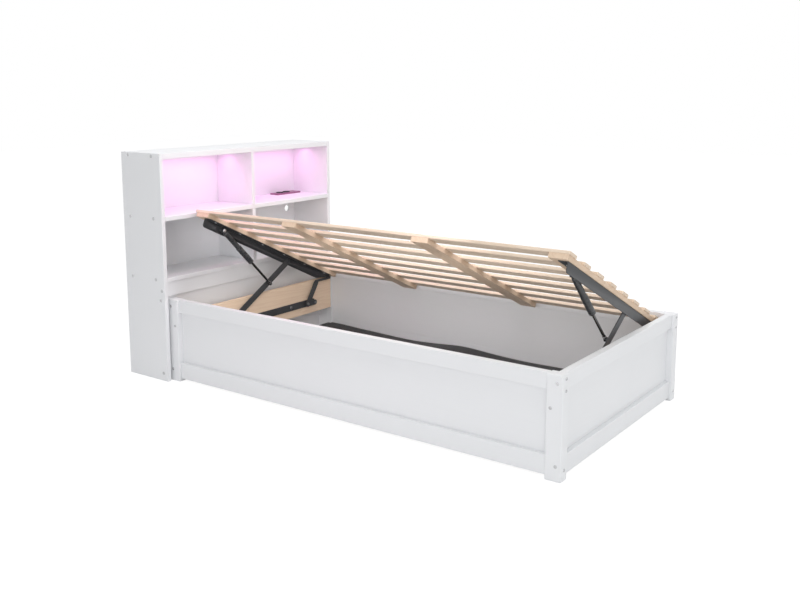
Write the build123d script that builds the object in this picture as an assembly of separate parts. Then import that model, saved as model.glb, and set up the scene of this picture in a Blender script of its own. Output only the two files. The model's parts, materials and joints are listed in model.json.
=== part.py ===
from build123d import *
from math import atan2, cos, degrees, hypot, radians, sin, sqrt
import os

# Storage bed with a bookcase headboard and a slatted platform that tips up at its side.
# X runs along the bed from the headboard (-X) to the foot (+X).
# The side that lifts is at -Y, Z is up, and the origin is under the middle of the bed.
# The platform is drawn lying flat, then turned about its side hinge to its raised rest.

# Headboard
headboard_depth = 260.0
frame_side_gap = 12.0
headboard_height = 1032.0
side_thickness = 20.0
top_thickness = 25.0
shelf_thickness = 20.0
lower_shelf_thickness = 18.0
divider_thickness = 20.0
back_thickness = 8.0
back_inset = 12.0
back_bottom = 20.0
upper_shelf_top = 752.0
lower_shelf_top = 475.0
lip_thickness = 18.0
lip_inset = 8.0
panel_thickness = 15.0
panel_bottom = 20.0
cable_hole_radius = 17.0
cable_hole_from_side = 60.0
cable_hole_height = 188.0
board_ease = 1.5

# Lamp strips and charging outlet
strip_width = 10.0
strip_thickness = 4.0
strip_from_back = 83.0
strip_end_gap = 25.0
outlet_length = 180.0
outlet_width = 62.0
outlet_thickness = 7.0
outlet_corner = 8.0
outlet_from_side = 28.0
outlet_from_back = 15.0
socket_radius = 17.0
socket_pitch = 46.0
usb_length = 14.0
usb_width = 6.0
usb_pitch = 22.0
usb_inset = 12.0
socket_offset = 5.0
insert_recess = 0.5
outlet_ease = 1.0
insert_depth = 3.0
insert_gap = 0.2

# Frame
frame_length = 1960.0
frame_width = 1086.0
post_ease = 3.0
rail_ease = 2.0
frame_height = 390.0
frame_tuck = 20.0
post_length = 62.0
post_depth = 46.0
rail_thickness = 28.0
rail_setback = 10.0
rail_height = 72.0
rail_floor_gap = 13.0
infill_thickness = 10.5
plank_thickness = 20.0
plank_bottom = 150.0
plank_top = 320.0
batten_run = 23.0
ledge_size = 20.0
floor_batten_width = 60.0
floor_batten_thickness = 15.0
floor_batten_count = 6
cloth_thickness = 2.0
cloth_gap = 4.0

# Bolt caps
cap_radius = 7.5
cap_height = 1.5
bolt_radius = 6.0
bolt_height = 2.0
side_bolt_inset = 21.0
inner_bolt_inset_foot = 45.0
inner_bolt_inset_head = 46.0
rail_bolt_drop = 28.0
lower_rail_bolt_drop = 70.0
low_bolt_height = 40.0
cap_share_of_lip = 0.42
cap_below_lip = 18.0
cap_above_panel = 16.0
cap_ease = 0.6

# Platform, lying flat
platform_far_gap = 11.0
platform_post_gap = 3.0
platform_bottom = 329.0
slat_gap_head = 41.0
slat_gap_foot = 21.0
slat_width = 62.0
slat_thickness = 13.0
slat_count = 8
bearer_width = 76.0
bearer_thickness = 20.0
bearer_from_head = 13.0
bearer_from_foot = 3.0
inner_bearer_from_head = 573.0
inner_bearer_from_foot = 622.0
edge_ease = 1.2
lift_angle = 25.3

# Side hinge
hinge_from_edge = 16.0
hinge_rise = 10.0
hinge_ear_radius = 8.0
hinge_pin_radius = 4.0
notch_width = 17.5
notch_length = 36.0

# Angle rails under the end bearers
angle_leg = 40.0
angle_shelf = 40.0
angle_thickness = 3.0
angle_gap = 9.0
angle_near_inset = 20.0
angle_shelf_start = 42.0
angle_corner = 8.0

# Mechanism, measured inward from the plank's face
base_bar_height = 35.0
base_bar_thickness = 4.0
base_bar_middle = 207.0
base_bar_near_from_edge = 94.0
base_bar_far_from_edge = 120.0
link_offset = 14.0
link_thickness = 4.0
link_width = 30.0
link_pin_from_edge = 356.0
link_pin_drop = 25.0
link_foot_from_near_edge = 217.0
link_pin_radius = 6.0
link_pin_gap = 0.5
slot_clearance = 2.5
strut_offset = 33.0
strut_pin_from_near_edge = 128.0
strut_pin_drop = 22.0
strut_pin_radius = 5.0
strut_link_reach = 322.0
cylinder_length = 245.0
cylinder_radius = 11.0
sleeve_radius = 14.0
sleeve_length = 115.0
rod_radius = 5.0
rod_buried = 60.0
rod_bore_spare = 12.0
eye_radius = 10.0
neck_seat = 2.0
neck_step = 4.0
rod_seat = 3.0
eye_thickness = 12.0
rod_eye_thickness = 8.0
running_gap = 0.3
open_pivot_gap = 1.0
pin_head_radius = 10.0
pin_head_height = 3.0
arm_width = 30.0
arm_foot_width = 26.0
arm_foot_near_from_edge = 190.0
arm_foot_far_from_edge = 134.0
arm_top_from_edge = 123.0
arm_bar_height = 12.0
arm_bar_drop = 6.0
spacer_radius = 9.0
bar_bolt_radius = 8.0
bar_bolt_height = 4.0
bar_bolt_inset = 14.0
bar_bolt_ease = 1.5
bar_rivet_from_edge = 306.0

# Places that follow from the sizes
overall_length = headboard_depth + frame_length - frame_tuck
back_x = -(overall_length + bolt_height) / 2
front_x = back_x + headboard_depth
frame_head_x = front_x - frame_tuck
foot_x = frame_head_x + frame_length
headboard_width = frame_width + 2 * (frame_side_gap + side_thickness)
side_y = headboard_width / 2
inner_y = side_y - side_thickness
post_y = frame_width / 2
post_inner_y = post_y - post_depth
rail_y = post_y - rail_setback
rail_inner_y = rail_y - rail_thickness
post_head_x = frame_head_x + post_length
post_foot_x = foot_x - post_length
foot_rail_x = foot_x - rail_setback
foot_inner_x = foot_rail_x - rail_thickness
plank_head_x = post_head_x + plank_thickness
plank_foot_x = foot_inner_x - plank_thickness
mirror_x = (plank_head_x + plank_foot_x) / 2
under_top = headboard_height - top_thickness
back_front_x = back_x + back_inset + back_thickness
lip_top = lower_shelf_top - lower_shelf_thickness
lip_height = lip_top - frame_height
lip_bottom = frame_height
platform_width = frame_width - 2 * post_depth - platform_post_gap - platform_far_gap
near_edge_y = platform_post_gap - post_inner_y
far_edge_y = near_edge_y + platform_width
base_bar_near_y = near_edge_y + base_bar_near_from_edge
base_bar_far_y = far_edge_y - base_bar_far_from_edge
link_foot_y = near_edge_y + link_foot_from_near_edge
arm_foot_near = far_edge_y - arm_foot_near_from_edge
arm_foot_far = far_edge_y - arm_foot_far_from_edge
arm_top_y = far_edge_y - arm_top_from_edge
bar_rivet_y = far_edge_y - bar_rivet_from_edge
slat_head_x = frame_head_x + slat_gap_head
slat_foot_x = foot_inner_x - slat_gap_foot
slat_bottom = platform_bottom + bearer_thickness
slat_pitch = (platform_width - slat_width) / (slat_count - 1)
hinge_y = far_edge_y - hinge_from_edge
hinge_z = platform_bottom + hinge_rise
angle_x = plank_head_x + angle_gap
link_x = plank_head_x + link_offset
strut_x = plank_head_x + strut_offset
lift = radians(lift_angle)


def block(x0, x1, y0, y1, z0, z1, ease=0.0, along=None):
    body = Pos(x0, y0, z0) * Box(x1 - x0, y1 - y0, z1 - z0, align=(Align.MIN, Align.MIN, Align.MIN))
    if ease:
        body = chamfer(body.edges().filter_by(along), ease)
    return body


def side_plane(x):
    # A drawing plane across the bed: its first axis is +Y and its second is +Z.
    return Plane(origin=(x, 0, 0), x_dir=(0, 1, 0), z_dir=(1, 0, 0))


def peg(x0, x1, y, z, radius):
    return extrude(side_plane(x0) * Pos(y, z) * Circle(radius), amount=x1 - x0)


def strip_shape(start, end, width):
    # A flat bar with round ends between two points of a drawing plane.
    middle = ((start[0] + end[0]) / 2, (start[1] + end[1]) / 2)
    reach = hypot(end[0] - start[0], end[1] - start[1])
    turn = degrees(atan2(end[1] - start[1], end[0] - start[0]))
    return Pos(*middle) * Rot(0, 0, turn) * SlotCenterToCenter(reach, width)


def raise_point(y, z):
    # Where a point of the flat platform goes when the platform is up.
    dy = y - hinge_y
    dz = z - hinge_z
    return (hinge_y + dy * cos(lift) + dz * sin(lift), hinge_z - dy * sin(lift) + dz * cos(lift))


def raised(body):
    return body.rotate(Axis((0, hinge_y, hinge_z), (1, 0, 0)), -lift_angle)


def at_foot(body):
    return body.mirror(Plane.YZ.offset(mirror_x))


def write(name, *bodies):
    body = bodies[0] if len(bodies) == 1 else Compound(children=list(bodies))
    export_step(body, "parts/" + name + ".step")


# Pivots of the mechanism, raised and flat
link_top_flat = (far_edge_y - link_pin_from_edge, platform_bottom - link_pin_drop)
link_top = raise_point(*link_top_flat)
link_foot = (link_foot_y, base_bar_middle)
link_length = hypot(link_top[0] - link_foot[0], link_top[1] - link_foot[1])
link_foot_flat_y = link_top_flat[0] - sqrt(link_length**2 - (link_top_flat[1] - base_bar_middle) ** 2)
link_turn = atan2(link_top[1] - link_foot[1], link_top[0] - link_foot[0])
strut_foot = (
    link_foot[0] + strut_link_reach * cos(link_turn),
    link_foot[1] + strut_link_reach * sin(link_turn),
)
strut_top_flat = (near_edge_y + strut_pin_from_near_edge, platform_bottom - strut_pin_drop)
strut_top = raise_point(*strut_top_flat)
strut_length = hypot(strut_foot[0] - strut_top[0], strut_foot[1] - strut_top[1])
link_turn_flat = atan2(link_top_flat[1] - base_bar_middle, link_top_flat[0] - link_foot_flat_y)
strut_foot_flat = (
    link_foot_flat_y + strut_link_reach * cos(link_turn_flat),
    base_bar_middle + strut_link_reach * sin(link_turn_flat),
)
strut_length_flat = hypot(
    strut_foot_flat[0] - strut_top_flat[0], strut_foot_flat[1] - strut_top_flat[1]
)
strut_stroke = strut_length - strut_length_flat


def headboard_boards():
    full = dict(ease=board_ease, along=Axis.Z)
    write("headboard_side_near", block(back_x, front_x, -side_y, -inner_y, 0, headboard_height, **full))
    write("headboard_side_far", block(back_x, front_x, inner_y, side_y, 0, headboard_height, **full))
    across = dict(ease=board_ease, along=Axis.Y)
    top = block(back_x, front_x, -inner_y, inner_y, under_top, headboard_height, **across)
    write("headboard_top", top)
    upper = block(
        back_front_x, front_x, -inner_y, inner_y,
        upper_shelf_top - shelf_thickness, upper_shelf_top, **across
    )
    write("upper_shelf", upper)
    lower = block(back_front_x, front_x, -inner_y, inner_y, lip_top, lower_shelf_top, **across)
    write("lower_shelf", lower)


def headboard_dividers():
    half = divider_thickness / 2
    upper = block(back_front_x, front_x, -half, half, upper_shelf_top, under_top)
    write("upper_divider", upper)
    lower_top = upper_shelf_top - shelf_thickness
    lower = block(back_front_x, front_x, -half, half, lower_shelf_top, lower_top)
    write("lower_divider", lower)


def headboard_back():
    back = block(back_front_x - back_thickness, back_front_x, -inner_y, inner_y, back_bottom, under_top)
    hole_y = inner_y - cable_hole_from_side
    hole_z = lower_shelf_top + cable_hole_height
    back -= peg(back_x, front_x, hole_y, hole_z, cable_hole_radius)
    write("headboard_back", back)


def headboard_front():
    lip_x = front_x - lip_inset
    lip = block(lip_x - lip_thickness, lip_x, -inner_y, inner_y, lip_bottom, lip_top, board_ease, Axis.Y)
    write("headboard_lip", lip)
    panel = block(
        frame_head_x - panel_thickness, frame_head_x, -inner_y, inner_y, panel_bottom, lip_bottom
    )
    write("headboard_panel", panel)


def headboard_caps():
    # One cap over each bolt on the two outer faces: boards first, then the front edge.
    rear_x = back_x + 48
    middle_x = front_x - 55
    lip_x = front_x - lip_inset - lip_thickness / 2
    panel_x = frame_head_x - panel_thickness / 2
    places = [
        (rear_x, headboard_height - top_thickness / 2),
        (middle_x, headboard_height - top_thickness / 2),
        (rear_x, upper_shelf_top - shelf_thickness / 2),
        (middle_x, upper_shelf_top - shelf_thickness / 2),
        (rear_x, lower_shelf_top - lower_shelf_thickness / 2),
        (middle_x, lower_shelf_top - lower_shelf_thickness / 2),
        (lip_x, lip_bottom + cap_share_of_lip * lip_height),
        (panel_x, lip_bottom - cap_below_lip),
        (panel_x, panel_bottom + cap_above_panel),
    ]
    caps = []
    for x, z in places:
        for side in (-1, 1):
            start = Plane(origin=(x, side * side_y, z), x_dir=(1, 0, 0), z_dir=(0, side, 0))
            cap = extrude(start * Circle(cap_radius), amount=cap_height)
            caps.append(chamfer(cap.faces().sort_by(Axis.Y)[0 if side < 0 else -1].edges(), cap_ease))
    write("headboard_caps", *caps)


def lamp_strips():
    half = divider_thickness / 2
    strip_x = back_front_x + strip_from_back
    x0 = strip_x - strip_width / 2
    x1 = strip_x + strip_width / 2
    z0 = under_top - strip_thickness
    left = block(x0, x1, -inner_y + strip_end_gap, -half - strip_end_gap, z0, under_top)
    right = block(x0, x1, half + strip_end_gap, inner_y - strip_end_gap, z0, under_top)
    write("lamp_strips", left, right)


def charging_outlet():
    middle_y = inner_y - outlet_from_side - outlet_length / 2
    middle_x = back_front_x + outlet_from_back + outlet_width / 2
    on_shelf = Plane(origin=(middle_x, middle_y, upper_shelf_top), x_dir=(0, 1, 0), z_dir=(0, 0, 1))
    plate = extrude(
        on_shelf * RectangleRounded(outlet_length, outlet_width, outlet_corner), outlet_thickness
    )
    plate = chamfer(plate.faces().sort_by(Axis.Z)[-1].edges(), outlet_ease)
    floor = on_shelf.offset(outlet_thickness - insert_depth)
    usb_y = 1.5 * socket_pitch
    places = [Pos(-socket_pitch, 0), Pos(socket_offset, 0)]
    inserts = []
    for place in places:
        plate -= extrude(floor * place * Circle(socket_radius + insert_gap), amount=2 * insert_depth)
        inserts.append(extrude(floor * place * Circle(socket_radius), amount=insert_depth - insert_recess))
    for row in (-1, 1):
        place = Pos(usb_y - usb_inset, row * usb_pitch / 2)
        pocket = Rectangle(usb_length + 2 * insert_gap, usb_width + 2 * insert_gap)
        plate -= extrude(floor * place * pocket, amount=2 * insert_depth)
        inserts.append(
            extrude(floor * place * Rectangle(usb_length, usb_width), amount=insert_depth - insert_recess)
        )
    write("outlet_plate", plate)
    write("outlet_sockets", *inserts)


def frame_posts():
    ends = {"head": (frame_head_x, post_head_x), "foot": (post_foot_x, foot_x)}
    for end, (x0, x1) in ends.items():
        for side, (y0, y1) in {"near": (-post_y, -post_inner_y), "far": (post_inner_y, post_y)}.items():
            write("post_" + end + "_" + side, block(x0, x1, y0, y1, 0, frame_height, post_ease, Axis.Z))


def side_walls():
    # Each wall is a top rail, a thinner infill panel and a bottom rail between two posts.
    rail_bottom_top = rail_floor_gap + rail_height
    rail_top_bottom = frame_height - rail_height
    for side, sign in {"near": -1, "far": 1}.items():
        y0, y1 = sorted((sign * rail_inner_y, sign * rail_y))
        p0, p1 = sorted((sign * rail_inner_y, sign * (rail_inner_y + infill_thickness)))
        top = block(post_head_x, post_foot_x, y0, y1, rail_top_bottom, frame_height, rail_ease, Axis.X)
        write(side + "_top_rail", top)
        panel = block(post_head_x, post_foot_x, p0, p1, rail_bottom_top, rail_top_bottom)
        write(side + "_panel", panel)
        bottom = block(post_head_x, post_foot_x, y0, y1, rail_floor_gap, rail_bottom_top, rail_ease, Axis.X)
        write(side + "_bottom_rail", bottom)
    y1 = post_inner_y
    foot = block(foot_inner_x, foot_rail_x, -y1, y1, rail_top_bottom, frame_height, rail_ease, Axis.Y)
    write("foot_top_rail", foot)
    panel = block(foot_inner_x, foot_inner_x + infill_thickness, -y1, y1, rail_bottom_top, rail_top_bottom)
    write("foot_panel", panel)
    foot = block(foot_inner_x, foot_rail_x, -y1, y1, rail_floor_gap, rail_bottom_top, rail_ease, Axis.Y)
    write("foot_bottom_rail", foot)


def mechanism_planks():
    # Bare wood planks across both ends carry the lifting gear.
    y1 = post_inner_y
    head = block(post_head_x, plank_head_x, -y1, y1, plank_bottom, plank_top, edge_ease, Axis.Y)
    write("plank_head", head)
    foot = block(plank_foot_x, foot_inner_x, -y1, y1, plank_bottom, plank_top, edge_ease, Axis.Y)
    write("plank_foot", foot)
    battens = []
    for sign in (-1, 1):
        y0, y1 = sorted((sign * post_inner_y, sign * rail_inner_y))
        x1 = post_head_x + batten_run
        battens.append(block(post_head_x, x1, y0, y1, rail_floor_gap, frame_height - rail_height))
    write("corner_battens", *battens)


def storage_floor():
    ledge_top = rail_floor_gap + ledge_size
    x0 = post_head_x + batten_run + cloth_gap
    x1 = post_foot_x
    ledges = []
    for sign in (-1, 1):
        y0, y1 = sorted((sign * (rail_inner_y - ledge_size), sign * rail_inner_y))
        ledges.append(block(x0, x1, y0, y1, rail_floor_gap, ledge_top))
    write("floor_ledges", *ledges)
    battens = []
    pitch = (x1 - x0 - floor_batten_width) / (floor_batten_count - 1)
    batten_top = ledge_top + floor_batten_thickness
    for number in range(floor_batten_count):
        start = x0 + number * pitch
        end = start + floor_batten_width
        battens.append(block(start, end, -rail_inner_y, rail_inner_y, ledge_top, batten_top))
    write("floor_battens", *battens)
    y1 = rail_inner_y - cloth_gap
    cloth = block(x0, x1 - cloth_gap, -y1, y1, batten_top, batten_top + cloth_thickness)
    write("floor_cloth", cloth)


def frame_bolts():
    # Bolt heads on the outer faces of the posts, three where a side wall ends.
    high = frame_height - 44
    middle = frame_height - 132
    low = 55
    bolts = []
    for x, inner_x in (
        (foot_x - side_bolt_inset, foot_x - inner_bolt_inset_foot),
        (frame_head_x + side_bolt_inset, frame_head_x + inner_bolt_inset_head),
    ):
        for across, z in ((x, high), (inner_x, middle), (x, low)):
            for sign in (-1, 1):
                face = Plane(origin=(across, sign * post_y, z), x_dir=(1, 0, 0), z_dir=(0, sign, 0))
                bolts.append(extrude(face * Circle(bolt_radius), amount=bolt_height))
    end_y = (post_y + post_inner_y) / 2
    for z in (frame_height - rail_bolt_drop, frame_height - lower_rail_bolt_drop, low_bolt_height):
        for sign in (-1, 1):
            bolts.append(peg(foot_x, foot_x + bolt_height, sign * end_y, z, bolt_radius))
    write("frame_bolts", *bolts)


def bearer_starts():
    last = slat_foot_x - bearer_from_foot - bearer_width
    return {
        "bearer_head": slat_head_x + bearer_from_head,
        "bearer_middle_head": slat_head_x + inner_bearer_from_head - bearer_width / 2,
        "bearer_middle_foot": slat_foot_x - inner_bearer_from_foot - bearer_width / 2,
        "bearer_foot": last,
    }


def platform_wood():
    for name, start in bearer_starts().items():
        end = start + bearer_width
        bearer = block(
            start, end, near_edge_y, far_edge_y, platform_bottom, slat_bottom, edge_ease, Axis.Y
        )
        if name in ("bearer_head", "bearer_foot"):
            # A notch at the far end clears the hinge ear.
            low = link_x - notch_width / 2 - 0.5
            cut = block(
                low, low + notch_width, far_edge_y - notch_length, far_edge_y + 1,
                platform_bottom, slat_bottom
            )
            bearer -= at_foot(cut) if name == "bearer_foot" else cut
        write(name, raised(bearer))
    for number in range(slat_count):
        y0 = near_edge_y + number * slat_pitch
        top = slat_bottom + slat_thickness
        slat = block(
            slat_head_x, slat_foot_x, y0, y0 + slat_width, slat_bottom, top, edge_ease, Axis.X
        )
        write("slat_" + str(number + 1), raised(slat))


def angle_rail():
    # The leg hangs beside the links, and the shelf lies under the bearer.
    near = near_edge_y + angle_near_inset
    low = platform_bottom - angle_leg
    leg = Polyline(
        (near, platform_bottom),
        (near, low + angle_corner),
        (near + angle_corner, low),
        (far_edge_y - angle_corner, low),
        (far_edge_y, low + angle_corner),
        (far_edge_y, platform_bottom),
        close=True,
    )
    profile = make_face(leg) + Pos(hinge_y, hinge_z) * Circle(hinge_ear_radius)
    profile += Pos(hinge_y, (hinge_z + platform_bottom) / 2) * Rectangle(2 * hinge_ear_radius, hinge_rise)
    profile -= Pos(hinge_y, hinge_z) * Circle(hinge_pin_radius + running_gap)
    rail = extrude(side_plane(angle_x) * profile, amount=angle_thickness)
    shelf_end = far_edge_y - angle_shelf_start
    shelf = block(
        angle_x, angle_x + angle_shelf, near, shelf_end, platform_bottom - angle_thickness, platform_bottom
    )
    rail += shelf
    # Studs that the front link and the gas strut turn on.
    link_end = link_x + link_thickness
    rail += peg(angle_x, link_end + running_gap, *link_top_flat, link_pin_radius)
    rail += peg(
        link_end + running_gap, link_end + running_gap + pin_head_height, *link_top_flat, pin_head_radius
    )
    strut_end = strut_x + eye_thickness / 2 + running_gap
    rail += peg(angle_x, strut_end, *strut_top_flat, strut_pin_radius)
    rail += peg(strut_end, strut_end + pin_head_height, *strut_top_flat, pin_head_radius - 2)
    return rail


def base_bar():
    near = (base_bar_near_y + base_bar_height / 2, base_bar_middle)
    far = (base_bar_far_y - base_bar_height / 2, base_bar_middle)
    shape = strip_shape(near, far, base_bar_height)
    slot_width = 2 * (link_pin_radius + slot_clearance)
    slot_near = (link_foot_flat_y - slot_clearance, base_bar_middle)
    slot_far = (link_foot_y + slot_clearance, base_bar_middle)
    shape -= strip_shape(slot_near, slot_far, slot_width)
    return extrude(side_plane(plank_head_x) * shape, amount=base_bar_thickness)


def bar_bolts():
    face = plank_head_x + base_bar_thickness
    bolts = []
    for y, radius in ((base_bar_near_y + bar_bolt_inset, bar_bolt_radius), (bar_rivet_y, bar_bolt_radius)):
        bolt = peg(face, face + bar_bolt_height, y, base_bar_middle, radius)
        bolts.append(chamfer(bolt.faces().sort_by(Axis.X)[-1].edges(), bar_bolt_ease))
    arm_face = link_x + link_thickness
    for y in (arm_foot_near, arm_foot_far):
        bolt = peg(arm_face, arm_face + bar_bolt_height, y, base_bar_middle, bar_bolt_radius)
        bolts.append(chamfer(bolt.faces().sort_by(Axis.X)[-1].edges(), bar_bolt_ease))
    return bolts


def hinge_bracket():
    # A foot on the base bar, a slanting arm, a thin bar and the ear that holds the hinge pin.
    bar_top = platform_bottom - arm_bar_drop
    bar_middle = bar_top - arm_bar_height / 2
    foot = strip_shape((arm_foot_near, base_bar_middle), (arm_foot_far, base_bar_middle), arm_foot_width)
    arm_top = (arm_top_y, bar_top - arm_width / 2)
    arm = strip_shape((arm_foot_near, base_bar_middle), arm_top, arm_width)
    bar = strip_shape((arm_top_y, bar_middle), (hinge_y + 2, bar_middle), arm_bar_height)
    ear = Pos(hinge_y, hinge_z) * Circle(hinge_ear_radius)
    ear += Pos(hinge_y, (hinge_z + bar_middle) / 2) * Rectangle(2 * hinge_ear_radius, hinge_z - bar_middle)
    body = extrude(side_plane(link_x) * (foot + arm + bar + ear), amount=link_thickness)
    for y in (arm_foot_near, arm_foot_far):
        body += peg(plank_head_x + base_bar_thickness, link_x, y, base_bar_middle, spacer_radius)
    pin_end = angle_x - running_gap
    body += peg(pin_end, link_x, hinge_y, hinge_z, hinge_pin_radius)
    body += peg(pin_end - 2, pin_end, hinge_y, hinge_z, hinge_pin_radius + 2)
    return body


def front_link():
    shape = strip_shape(link_foot, link_top, link_width)
    shape -= Pos(*link_top) * Circle(link_pin_radius + running_gap)
    link = extrude(side_plane(link_x) * shape, amount=link_thickness)
    # The foot pin slides in the base bar's slot.
    link += peg(plank_head_x + link_pin_gap, link_x, *link_foot, link_pin_radius)
    # The boss faces the rod's eye, and nothing passes through the two.
    boss_end = strut_x - rod_eye_thickness / 2 - open_pivot_gap
    link += peg(link_x + link_thickness, boss_end, *strut_foot, spacer_radius)
    return link


def strut_plane(distance):
    # Across the strut, at a distance from its top pin.
    dy = (strut_foot[0] - strut_top[0]) / strut_length
    dz = (strut_foot[1] - strut_top[1]) / strut_length
    place = (strut_x, strut_top[0] + dy * distance, strut_top[1] + dz * distance)
    return Plane(origin=place, x_dir=(1, 0, 0), z_dir=(0, dy, dz))


def strut_cylinder():
    start = eye_radius + 4
    body = extrude(strut_plane(start) * Circle(cylinder_radius), amount=cylinder_length - start)
    body += extrude(strut_plane(cylinder_length - sleeve_length) * Circle(sleeve_radius), sleeve_length)
    neck = extrude(
        strut_plane(eye_radius - neck_seat) * Circle(cylinder_radius - neck_step),
        amount=start - eye_radius + 2 * neck_seat,
    )
    body += neck
    half = eye_thickness / 2
    body += peg(strut_x - half, strut_x + half, *strut_top, eye_radius)
    body -= peg(strut_x - half - 1, strut_x + half + 1, *strut_top, strut_pin_radius + running_gap)
    bore_depth = rod_buried + strut_stroke + rod_bore_spare
    bore = extrude(
        strut_plane(cylinder_length - bore_depth) * Circle(rod_radius + running_gap), amount=bore_depth + 1
    )
    return body - bore


def strut_rod():
    start = cylinder_length - rod_buried
    half = rod_eye_thickness / 2
    body = extrude(
        strut_plane(start) * Circle(rod_radius), amount=strut_length - start - eye_radius + rod_seat
    )
    body += peg(strut_x - half, strut_x + half, *strut_foot, eye_radius)
    body -= peg(strut_x - half - 1, strut_x + half + 1, *strut_foot, strut_pin_radius)
    return body


def mechanism():
    # The same gear at both ends, mirrored about the middle of the two planks.
    moving = {
        "front_link": front_link(),
        "strut_cylinder": strut_cylinder(),
        "strut_rod": strut_rod(),
        "base_bar": base_bar(),
        "hinge_bracket": hinge_bracket(),
        "angle_rail": raised(angle_rail()),
    }
    for name, body in moving.items():
        write(name + "_head", body)
        write(name + "_foot", at_foot(body))
    bolts = bar_bolts()
    write("bar_bolts_head", *bolts)
    write("bar_bolts_foot", *[at_foot(bolt) for bolt in bolts])


os.makedirs("parts", exist_ok=True)
headboard_boards()
headboard_dividers()
headboard_back()
headboard_front()
headboard_caps()
lamp_strips()
charging_outlet()
frame_posts()
side_walls()
mechanism_planks()
storage_floor()
frame_bolts()
platform_wood()
mechanism()
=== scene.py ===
import json
from math import cos, exp, pi, radians, sin, tan

import bmesh
import bpy
from mathutils import Matrix, Vector


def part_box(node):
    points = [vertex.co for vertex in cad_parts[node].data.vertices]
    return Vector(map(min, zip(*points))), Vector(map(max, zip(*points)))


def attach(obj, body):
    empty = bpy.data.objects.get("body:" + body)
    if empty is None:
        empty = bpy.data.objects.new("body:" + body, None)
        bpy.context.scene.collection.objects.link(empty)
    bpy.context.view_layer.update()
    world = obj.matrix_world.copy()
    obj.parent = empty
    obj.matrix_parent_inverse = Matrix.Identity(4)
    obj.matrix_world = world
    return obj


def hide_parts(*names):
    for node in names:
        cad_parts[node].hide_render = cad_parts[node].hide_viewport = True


# Looks of a white storage bed: its slatted platform is up, and pink lamps light the bookcase headboard.
# X runs from the headboard to the foot, the side that lifts is at -Y, and lengths are in metres.

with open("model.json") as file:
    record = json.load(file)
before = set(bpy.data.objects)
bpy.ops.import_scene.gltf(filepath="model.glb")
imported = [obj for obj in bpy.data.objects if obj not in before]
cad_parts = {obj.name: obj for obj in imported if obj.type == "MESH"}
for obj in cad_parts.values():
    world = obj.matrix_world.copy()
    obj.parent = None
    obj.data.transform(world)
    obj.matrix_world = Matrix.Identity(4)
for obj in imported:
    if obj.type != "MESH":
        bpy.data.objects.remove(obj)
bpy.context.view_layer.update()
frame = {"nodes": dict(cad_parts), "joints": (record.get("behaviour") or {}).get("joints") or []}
nodes = frame["nodes"]
joints = {joint["name"]: joint for joint in frame["joints"]}


# Camera

cameraView = {
    "place": (2.4348, -3.3192, 1.3349),
    "azimuth": 35.82,  # degrees from the look along +Y
    "lookDown": 9.09,
    "lens": 42.72,
    "sensor": 36.0,
    "shiftUp": -0.0807,  # the photograph's horizon lies above its middle
}


def makeCamera():
    data = bpy.data.cameras.new("photoCamera")
    data.lens = cameraView["lens"]
    data.sensor_width = cameraView["sensor"]
    data.shift_y = cameraView["shiftUp"]
    data.clip_end = 60.0
    camera = bpy.data.objects.new("photoCamera", data)
    camera.location = cameraView["place"]
    camera.rotation_euler = (radians(90.0 - cameraView["lookDown"]), 0.0, radians(cameraView["azimuth"]))
    bpy.context.scene.collection.objects.link(camera)
    bpy.context.scene.camera = camera


makeCamera()
bpy.context.scene.view_settings.view_transform = "Standard"
print("camera in place")


# Small helpers for node trees

def addNode(tree, kind, inputs=None, **settings):
    node = tree.nodes.new("ShaderNode" + kind)
    for key, value in settings.items():
        setattr(node, key, value)
    for key, value in (inputs or {}).items():
        if isinstance(value, bpy.types.NodeSocket):
            tree.links.new(value, node.inputs[key])
        else:
            node.inputs[key].default_value = value
    return node


def calc(tree, operation, first, second=0.0, clamp=False):
    node = addNode(tree, "Math", {0: first, 1: second}, operation=operation, use_clamp=clamp)
    return node.outputs[0]


def remap(tree, value, low, high, newLow=0.0, newHigh=1.0):
    inputs = {"Value": value, "From Min": low, "From Max": high, "To Min": newLow, "To Max": newHigh}
    return addNode(tree, "MapRange", inputs, clamp=True).outputs[0]


def mixColours(tree, factor, first, second):
    node = tree.nodes.new("ShaderNodeMix")
    node.data_type = "RGBA"
    for index, value in ((0, factor), (6, first), (7, second)):
        if isinstance(value, bpy.types.NodeSocket):
            tree.links.new(value, node.inputs[index])
        else:
            node.inputs[index].default_value = value
    return node.outputs[2]


def placePattern(tree, stretch, turn=(0.0, 0.0, 0.0)):
    coords = addNode(tree, "TexCoord").outputs["Object"]
    inputs = {"Vector": coords, "Rotation": turn, "Scale": stretch}
    return addNode(tree, "Mapping", inputs).outputs[0]


def newGroup(name, inputs, outputs):
    group = bpy.data.node_groups.new(name, "ShaderNodeTree")
    for label, kind, value in inputs:
        socket = group.interface.new_socket(name=label, in_out="INPUT", socket_type="NodeSocket" + kind)
        if value is not None:
            socket.default_value = value
    for label, kind in outputs:
        group.interface.new_socket(name=label, in_out="OUTPUT", socket_type="NodeSocket" + kind)
    return group, group.nodes.new("NodeGroupInput").outputs, group.nodes.new("NodeGroupOutput").inputs


def useGroup(tree, group, inputs):
    node = tree.nodes.new("ShaderNodeGroup")
    node.node_tree = group
    for key, value in inputs.items():
        if isinstance(value, bpy.types.NodeSocket):
            tree.links.new(value, node.inputs[key])
        else:
            node.inputs[key].default_value = value
    return node.outputs


# Shared shader groups

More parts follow.
